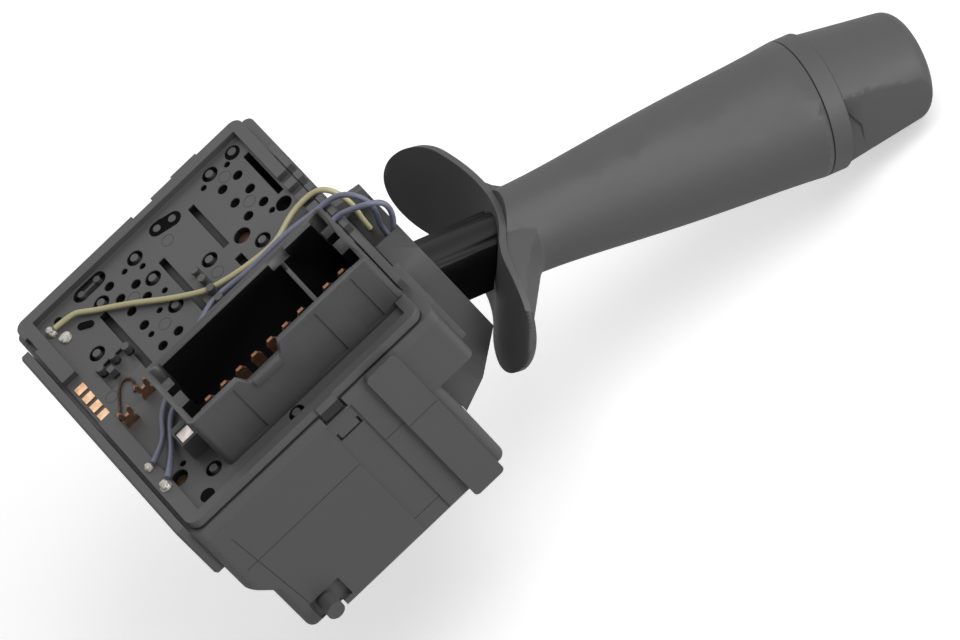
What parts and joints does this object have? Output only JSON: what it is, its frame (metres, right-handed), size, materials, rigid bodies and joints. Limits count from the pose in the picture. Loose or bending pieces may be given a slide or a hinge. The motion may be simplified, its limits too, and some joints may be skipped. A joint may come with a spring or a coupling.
{
  "type": "combination stalk switch",
  "caption": "Steering-column stalk switch: flat switch housing with blade-terminal socket and leads, and a flanged lever with a turning light knob and horn button.",
  "frame": {"origin": "on the flat outer face of the carrier frame's left rail, which seats in the column bracket, at the middle of its width and at the level of the seam", "axes": "+X from the seat towards the lever's end, +Y from the locating peg's side to the far side, +Z out of the terminal plate along the plug's way"},
  "size_m": [0.1899, 0.0887, 0.1073],
  "materials": {
    "housing_grey": "satin moulded plastic",
    "carrier_grey": "satin moulded plastic",
    "plate_grey": "satin moulded plastic",
    "shroud_grey": "satin moulded plastic",
    "dark_inner": "satin moulded plastic",
    "root_black": "fine-grained moulded plastic",
    "lever_grey": "fine-grained moulded plastic",
    "slider_white": "smooth slippery plastic",
    "copper_strip": "stamped copper alloy",
    "blade_tin": "stamped copper alloy",
    "solder": "set solder",
    "spring_steel": "drawn wire",
    "cream_cover": "soft lead insulation",
    "grey_cover": "soft lead insulation",
    "violet_cover": "soft lead insulation"
  },
  "bodies": {
    "body": {"housing": "housing_grey", "guide_rail": "housing_grey", "carrier_frame": "carrier_grey", "terminal_plate": "plate_grey", "connector_shroud": "shroud_grey", "blade_terminals": "blade_tin", "lead_carrier": "dark_inner", "contact_strips": "copper_strip", "contact_studs": "copper_strip", "edge_contacts": "copper_strip", "fork_terminals": "copper_strip", "window_block": "plate_grey", "window_contact": "copper_strip", "wire_retainers": "plate_grey", "solder_joints": "solder", "stalk_neck": "housing_grey", "lead_guide": "dark_inner", "switch_floor": "dark_inner", "detent_block": "dark_inner", "cream_lead": "cream_cover", "grey_lead": "grey_cover", "violet_lead": "violet_cover"},
    "turn": {"turn_yoke": "slider_white", "cross_pin": "slider_white", "detent_plunger": "slider_white", "detent_spring": "spring_steel"},
    "turn_contact": {"turn_slider": "slider_white", "turn_bridge": "copper_strip"},
    "dimmer_contact": {"dimmer_slider": "slider_white", "dimmer_bridge": "copper_strip"},
    "stalk": {"stalk_root": "root_black", "cover_flange": "lever_grey", "handle": "lever_grey", "index_ring": "lever_grey", "light_contact_plate": "dark_inner"},
    "knob": {"light_knob": "lever_grey", "selector_rod": "dark_inner", "light_rotor": "dark_inner", "horn_spring": "spring_steel"},
    "button": {"horn_button": "lever_grey"}
  },
  "joints": [
    {"name": "turn_hinge", "type": "hinge", "parent": "body", "child": "turn", "pos_m": [0.0648, -0.0065, -0.0108], "axis": [0, 0, 1], "range_deg": [-9, 9]},
    {"name": "beam_hinge", "type": "hinge", "parent": "turn", "child": "stalk", "pos_m": [0.0648, -0.0065, -0.0108], "axis": [0, 1, 0], "range_deg": [0, 6], "stiffness_Nm_per_rad": 2, "springref_deg": -8.59},
    {"name": "light_knob_turn", "type": "hinge", "parent": "stalk", "child": "knob", "pos_m": [0.0648, -0.0065, -0.0108], "axis": [0.891, 0, -0.454], "range_deg": [0, 60]},
    {"name": "horn_push", "type": "slide", "parent": "knob", "child": "button", "axis": [-0.891, 0, 0.454], "range_m": [0, 0.0015], "stiffness_N_per_m": 1000, "springref_m": -0.001},
    {"name": "turn_slide", "type": "slide", "parent": "body", "child": "turn_contact", "axis": [0, 1, 0], "range_m": [-0.0042, 0.0042]},
    {"name": "dimmer_slide", "type": "slide", "parent": "body", "child": "dimmer_contact", "axis": [0, 0, 1], "range_m": [-0.0001, 0.0016]}
  ],
  "couplings": [
    {"joint": "turn_slide", "follows": "turn_hinge", "m_per_rad": -0.026},
    {"joint": "dimmer_slide", "follows": "beam_hinge", "m_per_rad": 0.0145}
  ]
}
